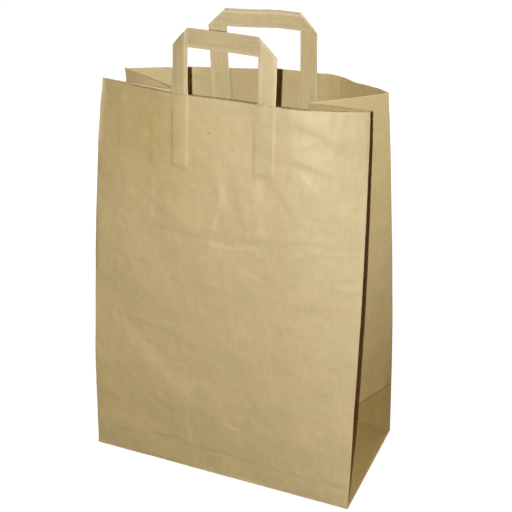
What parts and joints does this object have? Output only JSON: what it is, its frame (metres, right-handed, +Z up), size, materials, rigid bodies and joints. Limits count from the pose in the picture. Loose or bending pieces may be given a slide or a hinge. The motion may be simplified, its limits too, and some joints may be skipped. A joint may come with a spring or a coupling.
{
  "type": "paper carrier bag",
  "caption": "Upright kraft paper carrier bag with a block bottom, folded-in side gussets, a toothed rim and flat folded paper handles glued inside",
  "frame": {"origin": "middle of the rectangular bottom, on the surface the bag stands on", "axes": "+X across the front panel to the right, +Y from the front panel to the back panel, +Z up to the handles"},
  "size_m": [0.32, 0.1704, 0.5162],
  "materials": {
    "kraft_paper": "unprinted brown kraft paper, machine finished, slightly creased",
    "kraft_strip": "folded flat strip of the same kraft paper, a shade lighter"
  },
  "bodies": {
    "root": {"bag_body": "kraft_paper", "front_handle": "kraft_strip", "back_handle": "kraft_strip"}
  },
  "joints": []
}
